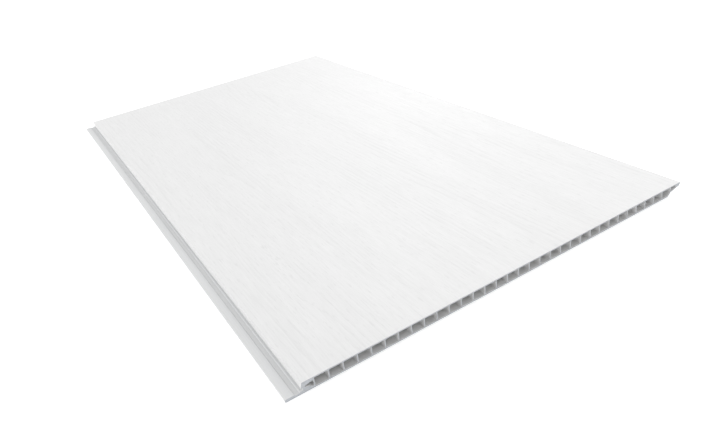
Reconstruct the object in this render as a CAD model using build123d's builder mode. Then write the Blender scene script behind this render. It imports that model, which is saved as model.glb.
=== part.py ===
"""A hollow cladding panel: one extruded length of rigid plastic with a multi-cell section.

The panel lies face up. X runs across the section, from the nailing flange to the cover lip,
Y runs along the extrusion and Z is up. The origin is under the middle of the panel, on its back.
Panels lap: the lip of one covers the flange of the next, and its tip closes against that nose.
"""

import os
from math import hypot

from build123d import *

# The panel as a whole
cover_width = 375.0
thickness = 9.0
length = 680.0

# Walls of the hollow section
face_skin = 1.0
back_skin = 1.1
web_wall = 0.8
cell_pitch_wanted = 11.05
cell_radius = 0.6

# Nailing flange, which stands out low on the -X side
flange_reach = 13.2
flange_thickness = 2.3
flange_edge_radius = 0.8
outer_land = 7.4
nail_groove_width = 3.2
nail_groove_depth = 0.6

# Nose above the flange, leaning out as it goes down, with an undercut below it
nose_depth = 4.5
nose_lean = 1.2
nose_radius = 0.8
nose_edge_radius = 0.4
undercut_depth = 1.5
undercut_rise = 0.4
undercut_radius = 0.4

# Stiff hollow triangle behind the nose
nose_web_inset = 8.7
nose_top_wall = 2.4
nose_base_wall = 1.7
nose_front_wall = 0.9
nose_cell_tip_depth = 3.8
nose_cell_radius = 0.4

# Cover lip, flush with the face on the +X side
lip_tip_thickness = 3.1
lip_tip_length = 5.5
lip_wall = 1.0
lip_root_run = 3.5
lip_edge_radius = 0.4
back_corner_radius = 0.5

# Room left in the lap between two panels
joint_gap = 0.3
lap_play = 0.3
lap_headroom = 0.9

# Places across the section, from the nose of the face
nose_x = flange_reach - (cover_width - joint_gap + flange_reach) / 2
flange_edge_x = nose_x - flange_reach
lip_x = nose_x + cover_width - joint_gap
nose_foot_z = thickness - nose_depth
undercut_x = nose_x - nose_lean + undercut_depth

# Flange top: an inner land beside the nose, the shallow nailing groove and an outer land
groove_outer_x = flange_edge_x + outer_land
groove_inner_x = groove_outer_x + nail_groove_width
groove_z = flange_thickness - nail_groove_depth

# Lip: its root wall slopes up past the edge of the neighbour's flange, then it thins to its tip
lip_root_z = flange_thickness + lap_headroom
lip_tip_z = thickness - lip_tip_thickness
lip_foot_x = lip_x - nose_lean * lip_tip_thickness / nose_depth
neighbour_flange_x = nose_x + cover_width - flange_reach
root_slope = lip_root_run / lip_root_z
back_edge_x = neighbour_flange_x - lap_play - root_slope * flange_thickness
lip_root_x = back_edge_x + lip_root_run
lip_slope = (lip_tip_z - lip_root_z) / (lip_foot_x - lip_root_x)

# Webs: equal cells from the web behind the nose to the web over the lip's root
nose_web_x = nose_x + nose_web_inset
root_web_x = lip_root_x - web_wall / 2
cell_count = round((root_web_x - nose_web_x) / cell_pitch_wanted)
cell_pitch = (root_web_x - nose_web_x) / cell_count
cell_width = cell_pitch - web_wall
cell_height = thickness - face_skin - back_skin
cell_ceiling_z = thickness - face_skin
square_cell_count = cell_count - 1
square_cells_x = nose_web_x + cell_pitch * square_cell_count / 2

# The last cell loses its lower corner to the root wall, which keeps the web's thickness
root_cell_left_x = root_web_x - cell_pitch + web_wall / 2
root_cell_right_x = root_web_x - web_wall / 2
root_wall_shift = web_wall * hypot(root_slope, 1.0)
root_cut_x = back_edge_x + root_slope * back_skin - root_wall_shift
root_cut_z = (root_cell_right_x + root_wall_shift - back_edge_x) / root_slope

# The lip's own cell ends at its solid tip
lip_cell_end_x = lip_x - lip_tip_length
lip_floor_shift = lip_wall * hypot(lip_slope, 1.0)
lip_floor_root_z = lip_root_z + lip_floor_shift
lip_floor_end_z = lip_floor_root_z + lip_slope * (lip_cell_end_x - lip_root_x)

# Corners of the outline, each with its radius, round from the edge of the flange
outline_corners = [
    ((flange_edge_x, 0.0), flange_edge_radius),
    ((back_edge_x, 0.0), back_corner_radius),
    ((lip_root_x, lip_root_z), back_corner_radius),
    ((lip_foot_x, lip_tip_z), lip_edge_radius),
    ((lip_x, thickness), lip_edge_radius),
    ((nose_x, thickness), nose_radius),
    ((nose_x - nose_lean, nose_foot_z), nose_edge_radius),
    ((undercut_x, nose_foot_z - undercut_rise), undercut_radius),
    ((undercut_x, flange_thickness), undercut_radius),
    ((groove_inner_x + nail_groove_depth, flange_thickness), 0.0),
    ((groove_inner_x, groove_z), 0.0),
    ((groove_outer_x, groove_z), 0.0),
    ((groove_outer_x - nail_groove_depth, flange_thickness), 0.0),
    ((flange_edge_x, flange_thickness), flange_edge_radius),
]
outline_points = [point for point, radius in outline_corners]
outline_radii = [radius for point, radius in outline_corners]

# Corners of the three cells that aren't rectangles
nose_cell_right_x = nose_web_x - web_wall / 2
nose_cell = [
    (nose_x + nose_front_wall, thickness - nose_cell_tip_depth),
    (nose_cell_right_x, nose_base_wall),
    (nose_cell_right_x, thickness - nose_top_wall),
]
root_cell = [
    (root_cell_left_x, back_skin),
    (root_cut_x, back_skin),
    (root_cell_right_x, root_cut_z),
    (root_cell_right_x, cell_ceiling_z),
    (root_cell_left_x, cell_ceiling_z),
]
lip_cell = [
    (lip_root_x, lip_floor_root_z),
    (lip_cell_end_x, lip_floor_end_z),
    (lip_cell_end_x, cell_ceiling_z),
    (lip_root_x, cell_ceiling_z),
]
shaped_cells = [(nose_cell, nose_cell_radius), (root_cell, cell_radius), (lip_cell, cell_radius)]

with BuildPart() as cladding_panel:
    # The section stands across the panel, and is drawn out to both ends from the middle
    with BuildSketch(Plane.XZ) as section:
        with BuildLine():
            FilletPolyline(*outline_points, radius=outline_radii, close=True)
        make_face()

        # Rectangular cells between the webs
        with Locations((square_cells_x, back_skin + cell_height / 2)):
            with GridLocations(cell_pitch, 0.0, square_cell_count, 1):
                RectangleRounded(cell_width, cell_height, cell_radius, mode=Mode.SUBTRACT)

        # Cells shaped by the nose, by the lip's root wall and by the lip
        for corners, radius in shaped_cells:
            with BuildLine():
                FilletPolyline(*corners, radius=radius, close=True)
            make_face(mode=Mode.SUBTRACT)
    extrude(amount=length / 2, both=True)

cladding_panel.part.label = "cladding_panel"

os.makedirs("parts", exist_ok=True)
export_step(cladding_panel.part, "parts/cladding_panel.step")
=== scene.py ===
"""The hollow cladding panel, dressed: white plastic with a faint embossed ash grain on its face.

The panel's section is drawn once as rounded loops and carried along its length. The face is a fine
grid, pressed in along the growth rings of a flat-sawn ash board. Lengths are in metres.
"""

from math import radians

import bpy
import numpy as np
from mathutils import Matrix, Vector
from mathutils.geometry import delaunay_2d_cdt


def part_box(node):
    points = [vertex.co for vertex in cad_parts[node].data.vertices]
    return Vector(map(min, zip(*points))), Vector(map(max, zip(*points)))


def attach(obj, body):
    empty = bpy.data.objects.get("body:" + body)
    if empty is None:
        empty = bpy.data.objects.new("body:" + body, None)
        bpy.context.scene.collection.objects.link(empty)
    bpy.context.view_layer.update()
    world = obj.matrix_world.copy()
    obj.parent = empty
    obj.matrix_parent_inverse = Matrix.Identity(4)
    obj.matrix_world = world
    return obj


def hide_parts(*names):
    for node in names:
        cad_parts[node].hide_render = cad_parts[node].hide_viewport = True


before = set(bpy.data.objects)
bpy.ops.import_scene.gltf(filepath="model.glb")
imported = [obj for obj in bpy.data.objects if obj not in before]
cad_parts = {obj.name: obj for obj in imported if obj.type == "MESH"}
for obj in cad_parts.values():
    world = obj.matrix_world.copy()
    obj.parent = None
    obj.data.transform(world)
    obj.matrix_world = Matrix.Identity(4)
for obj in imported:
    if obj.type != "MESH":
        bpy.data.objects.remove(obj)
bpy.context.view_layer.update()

MM = 0.001

# The panel's box comes from the frame
low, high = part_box("cladding_panel")
THICKNESS = high.z - low.z
FLANGE_EDGE_X = low.x

# Section of the extrusion, as on the solid
COVER_WIDTH = 375.0 * MM
JOINT_GAP = 0.3 * MM
FACE_SKIN = 1.0 * MM
BACK_SKIN = 1.1 * MM
WEB_WALL = 0.8 * MM
CELL_COUNT = 32
CELL_RADIUS = 0.6 * MM

# Nailing flange and its groove
FLANGE_REACH = 13.2 * MM
FLANGE_THICKNESS = 2.3 * MM
FLANGE_EDGE_RADIUS = 0.8 * MM
OUTER_LAND = 7.4 * MM
GROOVE_WIDTH = 3.2 * MM
GROOVE_DEPTH = 0.6 * MM
GROOVE_RADIUS = 0.2 * MM

# Nose, its undercut and the triangular cell behind it
NOSE_DEPTH = 4.5 * MM
NOSE_LEAN = 1.2 * MM
NOSE_RADIUS = 0.8 * MM
NOSE_EDGE_RADIUS = 0.4 * MM
UNDERCUT_DEPTH = 1.5 * MM
UNDERCUT_RISE = 0.4 * MM
UNDERCUT_RADIUS = 0.4 * MM
NOSE_WEB_INSET = 8.7 * MM
NOSE_TOP_WALL = 2.4 * MM
NOSE_BASE_WALL = 1.7 * MM
NOSE_FRONT_WALL = 0.9 * MM
NOSE_CELL_TIP_DEPTH = 3.8 * MM
NOSE_CELL_RADIUS = 0.4 * MM

# Cover lip
LIP_TIP_THICKNESS = 3.1 * MM
LIP_TIP_LENGTH = 5.5 * MM
LIP_WALL = 1.0 * MM
LIP_ROOT_RUN = 3.5 * MM
LIP_EDGE_RADIUS = 0.4 * MM
BACK_CORNER_RADIUS = 0.5 * MM
LAP_PLAY = 0.3 * MM
LAP_HEADROOM = 0.9 * MM

# Fineness of the mesh
ARC_STEPS = 5
FACE_COLUMNS = 340
STATIONS = 201
SHARP_EDGE = radians(38)

# How the ends are cut into triangles: within the outline only, with points this many mm apart as one
WITHIN_OUTLINE = 1
SAME_POINT = 1e-6

# Emboss of the grain, all of it below the plane of the face
GRAIN_SEED = 7
EMBOSS_DEPTH = 0.04 * MM
EMBOSS_RING_SHARE = 0.6
EMBOSS_FIBRE_SHARE = 0.4
EMBOSS_EDGE_FADE = 2.5 * MM
RING_SPACING = 4.6 * MM
EARLY_WOOD_SHARE = 0.45

# Noise in the grain: the spacing of its knots across and along the face, and the rings it shifts
DRIFT_KNOTS = (34 * MM, 420 * MM)
DRIFT_RINGS = 2.2
WANDER_KNOTS = (9 * MM, 130 * MM)
WANDER_RINGS = 0.5
FIBRE_KNOTS = (2.4 * MM, 45 * MM)
STRENGTH_KNOTS = (26 * MM, 150 * MM)

# Hearts of the flat-sawn figure: distance from the nose, distance from the near end,
# half width, half length, and how many rings each one lifts
HEARTS = np.array([
    [37 * MM, 120 * MM, 10 * MM, 75 * MM, 2.4],
    [120 * MM, 90 * MM, 11 * MM, 95 * MM, 2.8],
    [288 * MM, 150 * MM, 14 * MM, 130 * MM, 2.8],
    [278 * MM, 430 * MM, 20 * MM, 150 * MM, 3.4],
    [74 * MM, 440 * MM, 12 * MM, 130 * MM, 2.4],
    [190 * MM, 560 * MM, 15 * MM, 140 * MM, 2.6],
])

# Ash face: noises as waves per metre along each axis and octaves of detail
FIBRE_NOISE = ((900.0, 36.0, 1.0), 3.0)
PORE_NOISE = ((1100.0, 120.0, 1.0), 2.0)
STRAND_NOISE = ((360.0, 22.0, 1.0), 4.0)
STREAK_NOISE = ((28.0, 3.2, 1.0), 1.0)
RING_RAGGEDNESS = 0.5
RING_FADE_SPAN = (0.45, 0.62)
PORE_SPAN = (0.52, 0.68)
LATE_WOOD_PORES = 0.25

# Ash face: share of each part in the figure, the tones that it runs between, and its relief
RING_SHARE = 0.16
PORE_SHARE = 0.4
FIBRE_SHARE = 0.6
STRAND_SHARE = 0.46
STREAK_SHARE = 0.2
FACE_TONE_SPAN = (0.5, 1.0)
FACE_PALE = (0.771, 0.771, 0.771)
FACE_DULL = (0.7, 0.7, 0.7)
FACE_ROUGH_SPAN = (0.2, 1.1)
FACE_ROUGHNESS = (0.40, 0.56)
FIBRE_RELIEF = 0.5
FACE_BUMP = 0.35
FACE_BUMP_DEPTH = 0.05 * MM

# Plain walls: drawn lines and cloud, the whites of outer and cell walls, and their relief
LINE_NOISE = ((1300.0, 1.6, 1300.0), 3.0)
CLOUD_NOISE = ((40.0, 12.0, 40.0), 2.0)
WALL_TONE_SPAN = (0.6, 1.0)
OUTER_WALL_DULL = (0.655, 0.662, 0.666)
OUTER_WALL_PALE = (0.685, 0.692, 0.696)
CELL_WALL_DULL = (0.73, 0.73, 0.73)
CELL_WALL_PALE = (0.76, 0.76, 0.76)
WALL_ROUGH_SPAN = (0.6, 1.4)
WALL_ROUGHNESS = (0.36, 0.52)
WALL_BUMP = 0.25
WALL_BUMP_DEPTH = 0.03 * MM
SATIN_SPECULAR = 0.45

# Sawn ends: saw marks and grit, their cool greys, which are painted shade well below the plastic's
# white, and their relief
SAW_NOISE = ((2600.0, 1.0, 260.0), 2.0)
GRIT_NOISE = ((5200.0, 5200.0, 5200.0), 1.0)
SAWN_TONE_SPAN = (0.6, 1.0)
SAWN_END_PAINTED_SHADE_DULL = (0.432, 0.449, 0.472)
SAWN_END_PAINTED_SHADE_PALE = (0.49, 0.509, 0.535)
SAWN_ROUGHNESS = 0.62
SAWN_SPECULAR = 0.35
SAWN_BUMP = 0.4
SAWN_BUMP_DEPTH = 0.05 * MM

# Where the corners of the face stand in the 723 by 447 picture
PICTURE_SIZE = np.array([723.0, 447.0])
NEAR_NOSE_PIXEL = (301.1, 383.1)
NEAR_LIP_PIXEL = (680.3, 181.7)
FAR_LIP_PIXEL = (315.9, 55.4)
FAR_NOSE_PIXEL = (93.7, 121.8)
SENSOR_WIDTH_MM = 36.0
NEAREST_SEEN = 0.01

# Studio: the soft lights, as name, place, aim, size and power, the even fill and the white backdrop
SOFTBOXES = [
    ("right", (1.5, -0.1, 1.0), (0.0, 0.0, 0.0), 1.4, 12.3),
    ("right_back", (1.2, 1.4, 1.2), (0.0, 0.1, 0.0), 1.4, 11.8),
    ("left", (-1.5, 0.2, 0.95), (0.0, 0.0, 0.0), 1.2, 10.4),
]
FILL_STRENGTH = 0.7
BACKDROP_WHITE = 1.0

# Floor: a matt white with a faint glow
FLOOR_HALF_WIDTH = 60.0
FLOOR_WHITE = 0.94
FLOOR_GLOW = 0.335
FLOOR_ROUGHNESS = 0.9

# Places across the section
NOSE_X = FLANGE_EDGE_X + FLANGE_REACH
LIP_X = NOSE_X + COVER_WIDTH - JOINT_GAP
LIP_FOOT_X = LIP_X - NOSE_LEAN * LIP_TIP_THICKNESS / NOSE_DEPTH
LIP_ROOT_Z = FLANGE_THICKNESS + LAP_HEADROOM
ROOT_SLOPE = LIP_ROOT_RUN / LIP_ROOT_Z
BACK_EDGE_X = NOSE_X + COVER_WIDTH - FLANGE_REACH - LAP_PLAY - ROOT_SLOPE * FLANGE_THICKNESS
LIP_ROOT_X = BACK_EDGE_X + LIP_ROOT_RUN
NOSE_WEB_X = NOSE_X + NOSE_WEB_INSET
ROOT_WEB_X = LIP_ROOT_X - WEB_WALL / 2
CELL_PITCH = (ROOT_WEB_X - NOSE_WEB_X) / CELL_COUNT
CELL_CEILING_Z = THICKNESS - FACE_SKIN


def rounded_loops(corners, radii):
    """Rounds closed polygons: each corner gives way to the arc that touches both its sides.

    The arc's centre lies on the bisector, radius / sin(half angle) from the corner, and its points
    turn evenly from one touching point to the other. corners is (..., n, 2), radii is (..., n).
    """
    corners = np.asarray(corners, float)
    radii = np.broadcast_to(np.asarray(radii, float), corners.shape[:-1])[..., None]
    back = np.roll(corners, 1, axis=-2) - corners
    ahead = np.roll(corners, -1, axis=-2) - corners
    back /= np.linalg.norm(back, axis=-1, keepdims=True)
    ahead /= np.linalg.norm(ahead, axis=-1, keepdims=True)
    half = np.arccos((back * ahead).sum(-1, keepdims=True)) / 2
    bisector = back + ahead
    bisector /= np.linalg.norm(bisector, axis=-1, keepdims=True)
    centre = corners + bisector * radii / np.sin(half)
    first = corners + back * radii / np.tan(half) - centre
    last = corners + ahead * radii / np.tan(half) - centre
    turn = (np.pi - 2 * half)[..., None, :]
    share = np.linspace(0, 1, ARC_STEPS)[:, None]
    arc = np.sin((1 - share) * turn) * first[..., None, :] + np.sin(share * turn) * last[..., None, :]
    points = centre[..., None, :] + arc / np.sin(turn)
    return points.reshape(*corners.shape[:-2], -1, 2)


def panel_outline():
    """The outer loop of the section, as x and z, and the places of its face and of its grain in it.

    It runs round from the edge of the flange, under the back, over the lip, across the face, which
    is split into even columns, and down the nose. The grain goes on over the tip and the nose.
    """
    nose_foot_z = THICKNESS - NOSE_DEPTH
    undercut_x = NOSE_X - NOSE_LEAN + UNDERCUT_DEPTH
    groove_outer_x = FLANGE_EDGE_X + OUTER_LAND
    groove_inner_x = groove_outer_x + GROOVE_WIDTH
    groove_z = FLANGE_THICKNESS - GROOVE_DEPTH
    before_face = [
        (FLANGE_EDGE_X, 0.0, FLANGE_EDGE_RADIUS),
        (BACK_EDGE_X, 0.0, BACK_CORNER_RADIUS),
        (LIP_ROOT_X, LIP_ROOT_Z, BACK_CORNER_RADIUS),
        (LIP_FOOT_X, THICKNESS - LIP_TIP_THICKNESS, LIP_EDGE_RADIUS),
        (LIP_X, THICKNESS, LIP_EDGE_RADIUS),
    ]
    after_face = [
        (NOSE_X, THICKNESS, NOSE_RADIUS),
        (NOSE_X - NOSE_LEAN, nose_foot_z, NOSE_EDGE_RADIUS),
        (undercut_x, nose_foot_z - UNDERCUT_RISE, UNDERCUT_RADIUS),
        (undercut_x, FLANGE_THICKNESS, UNDERCUT_RADIUS),
        (groove_inner_x + GROOVE_DEPTH, FLANGE_THICKNESS, GROOVE_RADIUS),
        (groove_inner_x, groove_z, GROOVE_RADIUS),
        (groove_outer_x, groove_z, GROOVE_RADIUS),
        (groove_outer_x - GROOVE_DEPTH, FLANGE_THICKNESS, GROOVE_RADIUS),
        (FLANGE_EDGE_X, FLANGE_THICKNESS, FLANGE_EDGE_RADIUS),
    ]
    corners = np.array(before_face + after_face)
    loop = rounded_loops(corners[:, :2], corners[:, 2])
    split = len(before_face) * ARC_STEPS
    columns = np.linspace(loop[split - 1], loop[split], FACE_COLUMNS + 1)[1:-1]
    outline = np.concatenate([loop[:split], columns, loop[split:]])
    face = np.arange(split - 1, split + FACE_COLUMNS)
    grained = np.arange(face[0] - ARC_STEPS, face[-1] + ARC_STEPS + 1)
    return outline, face, grained


def panel_cells():
    """The loops of the open cells: a row of rounded rectangles, and the three that the edges shape."""
    square_x = NOSE_WEB_X + WEB_WALL / 2 + CELL_PITCH * np.arange(CELL_COUNT - 1)
    wide = CELL_PITCH - WEB_WALL
    square = np.array([
        [(0.0, BACK_SKIN), (wide, BACK_SKIN), (wide, CELL_CEILING_Z), (0.0, CELL_CEILING_Z)]
    ])
    squares = np.repeat(square, len(square_x), axis=0)
    squares[..., 0] += square_x[:, None]

    nose_right_x = NOSE_WEB_X - WEB_WALL / 2
    nose_cell = [
        (NOSE_X + NOSE_FRONT_WALL, THICKNESS - NOSE_CELL_TIP_DEPTH),
        (nose_right_x, NOSE_BASE_WALL),
        (nose_right_x, THICKNESS - NOSE_TOP_WALL),
    ]

    root_left_x = ROOT_WEB_X - CELL_PITCH + WEB_WALL / 2
    root_right_x = ROOT_WEB_X - WEB_WALL / 2
    root_shift = WEB_WALL * np.hypot(ROOT_SLOPE, 1.0)
    root_cell = [
        (root_left_x, BACK_SKIN),
        (BACK_EDGE_X + ROOT_SLOPE * BACK_SKIN - root_shift, BACK_SKIN),
        (root_right_x, (root_right_x + root_shift - BACK_EDGE_X) / ROOT_SLOPE),
        (root_right_x, CELL_CEILING_Z),
        (root_left_x, CELL_CEILING_Z),
    ]

    lip_slope = (THICKNESS - LIP_TIP_THICKNESS - LIP_ROOT_Z) / (LIP_FOOT_X - LIP_ROOT_X)
    lip_end_x = LIP_X - LIP_TIP_LENGTH
    lip_floor_z = LIP_ROOT_Z + LIP_WALL * np.hypot(lip_slope, 1.0)
    lip_cell = [
        (LIP_ROOT_X, lip_floor_z),
        (lip_end_x, lip_floor_z + lip_slope * (lip_end_x - LIP_ROOT_X)),
        (lip_end_x, CELL_CEILING_Z),
        (LIP_ROOT_X, CELL_CEILING_Z),
    ]
    return [
        rounded_loops(nose_cell, NOSE_CELL_RADIUS),
        *rounded_loops(squares, CELL_RADIUS),
        rounded_loops(root_cell, CELL_RADIUS),
        rounded_loops(lip_cell, CELL_RADIUS),
    ]


def knot_blend(places, spacing):
    """How much each evenly spaced knot weighs at each place: a raised cosine, one spacing to a side."""
    knots = (places - places.min()) / spacing
    count = int(knots.max()) + 2
    near = np.abs(knots[:, None] - np.arange(count))
    return np.where(near < 1, 0.5 + 0.5 * np.cos(np.pi * near), 0.0)


def lattice_noise(across, along, knots, rng):
    """Smooth noise on the grid of across by along: random heights at the knots of a coarse lattice,
    blended between knots by a raised cosine each way."""
    left = knot_blend(across, knots[0])
    right = knot_blend(along, knots[1])
    heights = rng.uniform(-1, 1, (left.shape[1], right.shape[1]))
    return left @ heights @ right.T


def growth_rings(across, along):
    """The number of growth rings passed at each point of the face: an even count across the board,
    bent by slow noise, plus a long smooth hump at each heart, which closes the rings into arches."""
    rng = np.random.default_rng(GRAIN_SEED)
    rings = np.repeat(across[:, None] / RING_SPACING, len(along), axis=1)
    for place, reach, half_width, half_length, lift in HEARTS:
        over = ((across - NOSE_X - place) / half_width)[:, None]
        down = ((along - low.y - reach) / half_length)[None, :]
        rings += lift * np.exp(-(over ** 2) - down ** 2)
    rings += DRIFT_RINGS * lattice_noise(across, along, DRIFT_KNOTS, rng)
    rings += WANDER_RINGS * lattice_noise(across, along, WANDER_KNOTS, rng)
    return rings


def emboss(rings, across, along):
    """How deep the face is pressed in: deepest at the start of each ring, where the open pores are,
    easing off through the ring, with long fibres worked over it, and flat at the long edges."""
    rng = np.random.default_rng(GRAIN_SEED + 1)
    phase = rings % 1.0
    early = np.clip(1 - phase / EARLY_WOOD_SHARE, 0, 1)
    eased = early ** 2 * (3 - 2 * early)
    fibre = 0.5 + 0.5 * lattice_noise(across, along, FIBRE_KNOTS, rng)
    strength = 0.5 + 0.5 * lattice_noise(across, along, STRENGTH_KNOTS, rng)
    depth = EMBOSS_DEPTH * (EMBOSS_RING_SHARE * strength * eased + EMBOSS_FIBRE_SHARE * fibre)
    edge = np.minimum(across - across.min(), across.max() - across)
    return depth * np.clip(edge / EMBOSS_EDGE_FADE, 0, 1)[:, None]


def carried_wall(first_index, loop_size, stations, turned_out):
    """Quads of a loop carried along its stations, whose points are numbered loop by loop."""
    here = np.arange(loop_size)
    ahead = np.roll(here, -1)
    rows = first_index + loop_size * np.arange(stations - 1)[:, None]
    quads = np.stack([rows + here, rows + ahead, rows + ahead + loop_size, rows + here + loop_size], -1)
    quads = quads.reshape(-1, 4)
    return quads[:, ::-1] if turned_out else quads


def sawn_end(outline, cells):
    """Triangles of the section's solid part, from the outline less the cells, turned to face -Y.

    The points are numbered as the outline and then each cell in turn."""
    points = np.concatenate([outline, *cells]) / MM
    sizes = [len(outline)] + [len(cell) for cell in cells]
    loops = [list(range(end - size, end)) for end, size in zip(np.cumsum(sizes), sizes)]
    _, _, faces, old_points, _, old_loops = delaunay_2d_cdt(
        points.tolist(), [], loops, WITHIN_OUTLINE, SAME_POINT, True)
    source = np.array([names[0] for names in old_points])
    solid = [face for face, names in zip(faces, old_loops) if list(names) == [0]]
    triangles = source[np.array(solid)]
    a, b, c = (points[triangles[:, k]] for k in range(3))
    area = (b - a)[:, 0] * (c - a)[:, 1] - (b - a)[:, 1] * (c - a)[:, 0]
    triangles[area < 0] = triangles[area < 0][:, ::-1]
    return triangles


def panel_mesh():
    """The whole panel as one closed mesh: outer wall, cell walls and the two sawn ends.

    Material 0 is the grained skin, 1 the plain outer walls, 2 the sawn ends in painted shade and 3 the
    cell walls."""
    outline, face, grained = panel_outline()
    cells = panel_cells()
    along = np.linspace(low.y, high.y, STATIONS)
    across = outline[face, 0]

    # The outer wall, with the face pressed in along its grain
    count = len(outline)
    skin = np.empty((STATIONS, count, 3))
    skin[..., 0] = outline[:, 0]
    skin[..., 1] = along[:, None]
    skin[..., 2] = outline[:, 1]
    rings = growth_rings(across, along)
    skin[:, face, 2] -= emboss(rings, across, along).T
    growth = np.zeros((STATIONS, count))
    growth[:, grained] = rings.T[:, np.clip(grained - face[0], 0, FACE_COLUMNS)]

    # The cells need points at the two ends only
    cell_points = []
    for cell in cells:
        ends = np.empty((2, len(cell), 3))
        ends[..., 0] = cell[:, 0]
        ends[..., 1] = along[[0, -1], None]
        ends[..., 2] = cell[:, 1]
        cell_points.append(ends.reshape(-1, 3))
    sizes = [len(cell) for cell in cells]
    starts = STATIONS * count + 2 * np.concatenate([[0], np.cumsum(sizes)[:-1]])
    quads = [carried_wall(0, count, STATIONS, True)]
    quads += [carried_wall(start, size, 2, False) for start, size in zip(starts, sizes)]

    # The two ends share their points with the walls
    triangles = sawn_end(outline, cells)
    near = np.concatenate([np.arange(count)] + [s + np.arange(n) for s, n in zip(starts, sizes)])
    far = np.concatenate([
        (STATIONS - 1) * count + np.arange(count),
        *[s + n + np.arange(n) for s, n in zip(starts, sizes)],
    ])
    ends = np.concatenate([near[triangles], far[triangles[:, ::-1]]])

    points = np.concatenate([skin.reshape(-1, 3), *cell_points])
    walls = np.concatenate(quads)
    column = np.tile(np.arange(count), STATIONS - 1)
    on_grain = (column >= grained[0]) & (column < grained[-1])
    kinds = np.concatenate([
        np.where(on_grain, 0, 1),
        np.full(len(walls) - len(quads[0]), 3),
        np.full(len(ends), 2),
    ])

    mesh = bpy.data.meshes.new("cladding_panel_dressed")
    mesh.from_pydata(points.tolist(), [], walls.tolist() + ends.tolist())
    mesh.polygons.foreach_set("material_index", kinds.astype(np.int32))
    mesh.polygons.foreach_set("use_smooth", np.ones(len(kinds), bool))
    mesh.set_sharp_from_angle(angle=SHARP_EDGE)
    stored = mesh.attributes.new("growth", "FLOAT", "POINT")
    values = np.concatenate([growth.ravel(), np.zeros(len(points) - growth.size)])
    stored.data.foreach_set("value", values.astype(np.float32))
    mesh.update()
    return mesh


class Finish:
    """A node material in the making, with its shader and short ways to add what feeds it."""

    def __init__(self, name):
        self.material = bpy.data.materials.new(name)
        self.material.use_nodes = True
        self.tree = self.material.node_tree
        self.shader = self.tree.nodes["Principled BSDF"]

    def add(self, kind, inputs=(), **settings):
        """A node with its settings, whose inputs are numbers or the outputs of other nodes."""
        node = self.tree.nodes.new(kind)
        for key, value in settings.items():
            setattr(node, key, value)
        for key, value in dict(inputs).items():
            if isinstance(value, bpy.types.NodeSocket):
                self.tree.links.new(value, node.inputs[key])
            else:
                node.inputs[key].default_value = value
        return node

    def feed(self, name, socket):
        """Leads an output into one of the shader's inputs."""
        self.tree.links.new(socket, self.shader.inputs[name])

    def combine(self, operation, first, second=0.0):
        """The result of one sum on two values."""
        return self.add("ShaderNodeMath", {0: first, 1: second}, operation=operation).outputs[0]

    def noise(self, waves, detail):
        """Noise on the panel's own coordinates, drawn out by a different scale along each axis."""
        place = self.add("ShaderNodeTexCoord").outputs["Object"]
        drawn = self.add("ShaderNodeMapping", {"Vector": place, "Scale": waves}).outputs["Vector"]
        noise = self.add("ShaderNodeTexNoise", {"Vector": drawn, "Scale": 1.0, "Detail": detail})
        return noise.outputs["Fac"]

    def spread(self, value, span, result, **settings):
        """A value taken from one span to another and held at its ends."""
        return self.add("ShaderNodeMapRange", {
            "Value": value,
            "From Min": span[0],
            "From Max": span[1],
            "To Min": result[0],
            "To Max": result[1],
        }, **settings).outputs["Result"]

    def colour(self, value, span, first, last):
        """Runs the shader's colour from the first tone to the last as the value goes over its span."""
        ramp = self.add("ShaderNodeValToRGB", {"Fac": value})
        for stop, position, tone in zip(ramp.color_ramp.elements, span, (first, last)):
            stop.position = position
            stop.color = (*tone, 1)
        self.feed("Base Color", ramp.outputs["Color"])

    def relief(self, height, strength, depth):
        """Raises the surface's shading by a height."""
        bump = self.add("ShaderNodeBump", {"Strength": strength, "Distance": depth, "Height": height})
        self.feed("Normal", bump.outputs["Normal"])


def ash_face_finish():
    """White plastic with a faint ash grain: open pores in bands along the rings, fine fibres and
    long pale streaks, all within a few hundredths of one white."""
    finish = Finish("ash_grain_face")
    fibre = finish.noise(*FIBRE_NOISE)
    pores = finish.noise(*PORE_NOISE)
    strands = finish.noise(*STRAND_NOISE)
    streaks = finish.noise(*STREAK_NOISE)

    # Rings with ragged edges that fade out in places, and pores that crowd where each one starts
    growth = finish.add("ShaderNodeAttribute", attribute_name="growth").outputs["Fac"]
    ragged = finish.combine("ADD", growth, finish.combine("MULTIPLY", fibre, RING_RAGGEDNESS))
    phase = finish.combine("FRACT", ragged)
    early = finish.spread(phase, (0.0, EARLY_WOOD_SHARE), (1.0, 0.0), interpolation_type="SMOOTHSTEP")
    present = finish.spread(streaks, RING_FADE_SPAN, (0.0, 1.0), interpolation_type="SMOOTHSTEP")
    open_pores = finish.spread(pores, PORE_SPAN, (0.0, 1.0), interpolation_type="SMOOTHSTEP")
    pore_band = finish.combine("MULTIPLY", open_pores, finish.combine("ADD", early, LATE_WOOD_PORES))

    # The figure adds up the shares of all of them
    figure = finish.combine("MULTIPLY", finish.combine("MULTIPLY", early, present), RING_SHARE)
    shares = [
        (pore_band, PORE_SHARE), (fibre, FIBRE_SHARE), (strands, STRAND_SHARE), (streaks, STREAK_SHARE),
    ]
    for part, share in shares:
        figure = finish.combine("ADD", figure, finish.combine("MULTIPLY", part, share))
    finish.colour(figure, FACE_TONE_SPAN, FACE_PALE, FACE_DULL)
    finish.feed("Roughness", finish.spread(figure, FACE_ROUGH_SPAN, FACE_ROUGHNESS))

    height = finish.combine("SUBTRACT", finish.combine("MULTIPLY", fibre, FIBRE_RELIEF), pore_band)
    finish.relief(height, FACE_BUMP, FACE_BUMP_DEPTH)
    finish.shader.inputs["Specular IOR Level"].default_value = SATIN_SPECULAR
    return finish.material


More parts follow.
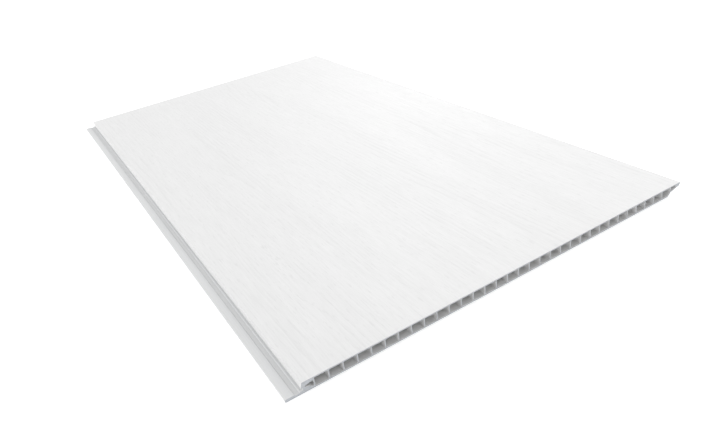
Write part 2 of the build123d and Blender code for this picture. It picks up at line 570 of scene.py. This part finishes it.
def extruded_wall_finish(name, dull, pale):
    """Plain white plastic as it leaves the die, with fine lines drawn along the length."""
    finish = Finish(name)
    lines = finish.noise(*LINE_NOISE)
    shade = finish.combine("ADD", lines, finish.noise(*CLOUD_NOISE))
    finish.colour(shade, WALL_TONE_SPAN, dull, pale)
    finish.feed("Roughness", finish.spread(shade, WALL_ROUGH_SPAN, WALL_ROUGHNESS))
    finish.relief(lines, WALL_BUMP, WALL_BUMP_DEPTH)
    finish.shader.inputs["Specular IOR Level"].default_value = SATIN_SPECULAR
    return finish.material


def sawn_end_painted_shade():
    """Cut plastic: matt, with the close upright marks of a fine saw, in greys darkened as painted
    shade.
    """
    finish = Finish("sawn_end")
    shade = finish.combine("ADD", finish.noise(*SAW_NOISE), finish.noise(*GRIT_NOISE))
    # The ends' greys are painted shade, far darker than the plastic's own white
    finish.colour(shade, SAWN_TONE_SPAN, SAWN_END_PAINTED_SHADE_DULL, SAWN_END_PAINTED_SHADE_PALE)
    finish.relief(shade, SAWN_BUMP, SAWN_BUMP_DEPTH)
    finish.shader.inputs["Roughness"].default_value = SAWN_ROUGHNESS
    finish.shader.inputs["Specular IOR Level"].default_value = SAWN_SPECULAR
    return finish.material


def add_panel():
    """The dressed panel, in place of the plain solid."""
    mesh = panel_mesh()
    mesh.materials.append(ash_face_finish())
    mesh.materials.append(extruded_wall_finish("outer_wall", OUTER_WALL_DULL, OUTER_WALL_PALE))
    # Material 2: the sawn ends, their colour darkened as painted shade
    mesh.materials.append(sawn_end_painted_shade())
    mesh.materials.append(extruded_wall_finish("cell_wall", CELL_WALL_DULL, CELL_WALL_PALE))
    panel = bpy.data.objects.new("dressed_panel", mesh)
    bpy.context.scene.collection.objects.link(panel)
    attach(panel, "root")
    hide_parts("cladding_panel")


def add_floor():
    """A wide plain white floor under the panel, which glows a little like a light table."""
    half = FLOOR_HALF_WIDTH
    mesh = bpy.data.meshes.new("floor")
    corners = [(-half, -half, 0.0), (half, -half, 0.0), (half, half, 0.0), (-half, half, 0.0)]
    mesh.from_pydata(corners, [], [(0, 1, 2, 3)])
    paint = bpy.data.materials.new("floor_white")
    paint.use_nodes = True
    shader = paint.node_tree.nodes["Principled BSDF"]
    shader.inputs["Base Color"].default_value = (FLOOR_WHITE, FLOOR_WHITE, FLOOR_WHITE, 1)
    shader.inputs["Emission Color"].default_value = (1, 1, 1, 1)
    shader.inputs["Emission Strength"].default_value = FLOOR_GLOW
    shader.inputs["Roughness"].default_value = FLOOR_ROUGHNESS
    shader.inputs["Specular IOR Level"].default_value = 0.0
    mesh.materials.append(paint)
    floor = bpy.data.objects.new("floor", mesh)
    bpy.context.scene.collection.objects.link(floor)


def add_softbox(name, place, aim, size, power):
    """A square soft light that faces a point."""
    lamp = bpy.data.lights.new(name, "AREA")
    lamp.shape = "SQUARE"
    lamp.size = size
    lamp.energy = power
    light = bpy.data.objects.new(name, lamp)
    away = np.array(place, float) - np.array(aim, float)
    away /= np.linalg.norm(away)
    side = np.cross([0.0, 1.0, 0.0], away)
    side /= np.linalg.norm(side)
    turn = np.eye(4)
    turn[:3, :3] = np.stack([side, np.cross(away, side), away], axis=1)
    turn[:3, 3] = place
    light.matrix_world = Matrix(turn.tolist())
    bpy.context.scene.collection.objects.link(light)


def add_studio():
    """Soft lights round the panel and an even fill, before a white backdrop."""
    for name, place, aim, size, power in SOFTBOXES:
        add_softbox(name, place, aim, size, power)
    world = bpy.data.worlds.new("studio")
    world.use_nodes = True
    tree = world.node_tree
    backdrop = tree.nodes["Background"]
    backdrop.inputs["Color"].default_value = (1, 1, 1, 1)
    seen = tree.nodes.new("ShaderNodeLightPath").outputs["Is Camera Ray"]
    strength = tree.nodes.new("ShaderNodeMapRange")
    strength.inputs["To Min"].default_value = FILL_STRENGTH
    strength.inputs["To Max"].default_value = BACKDROP_WHITE
    tree.links.new(seen, strength.inputs["Value"])
    tree.links.new(strength.outputs["Result"], backdrop.inputs["Strength"])
    bpy.context.scene.world = world
    bpy.context.scene.view_settings.view_transform = "Standard"


def add_camera():
    """A camera that puts the corners of the face where the picture shows them.

    Four points of a plane and their pixels give the plane's homography. Its first two columns are
    the image of two square directions, which fixes the focal length; its third is the origin's."""
    face = np.array([(NOSE_X, low.y), (LIP_X, low.y), (LIP_X, high.y), (NOSE_X, high.y)])
    pixels = np.array([NEAR_NOSE_PIXEL, NEAR_LIP_PIXEL, FAR_LIP_PIXEL, FAR_NOSE_PIXEL])
    seen = pixels - PICTURE_SIZE / 2
    ones = np.ones(len(face))
    zeros = np.zeros((len(face), 3))
    flat = np.column_stack([face, ones])
    rows = np.concatenate([
        np.column_stack([flat, zeros, -seen[:, :1] * flat]),
        np.column_stack([zeros, flat, -seen[:, 1:] * flat]),
    ])
    plane = np.linalg.svd(rows)[2][-1].reshape(3, 3)
    plane *= np.sign(plane[2, 2])
    focal = np.sqrt(-(plane[:2, 0] @ plane[:2, 1]) / (plane[2, 0] * plane[2, 1]))
    rays = plane / np.array([[focal], [focal], [1.0]])
    scale = np.linalg.norm(rays[:, :2], axis=0).mean()
    across = rays[:, 0] / np.linalg.norm(rays[:, 0])
    up = np.cross(across, rays[:, 1])
    up /= np.linalg.norm(up)
    turn = np.column_stack([across, np.cross(up, across), up])
    origin = rays[:, 2] / scale
    place = -turn.T @ origin + np.array([0.0, 0.0, THICKNESS])

    lens = bpy.data.cameras.new("camera")
    lens.sensor_width = SENSOR_WIDTH_MM
    lens.lens = focal * SENSOR_WIDTH_MM / PICTURE_SIZE[0]
    lens.clip_start = NEAREST_SEEN
    camera = bpy.data.objects.new("camera", lens)
    pose = np.eye(4)
    pose[:3, :3] = np.column_stack([turn[0], -turn[1], -turn[2]])
    pose[:3, 3] = place
    camera.matrix_world = Matrix(pose.tolist())
    bpy.context.scene.collection.objects.link(camera)
    bpy.context.scene.camera = camera


add_panel()
add_floor()
add_studio()
add_camera()
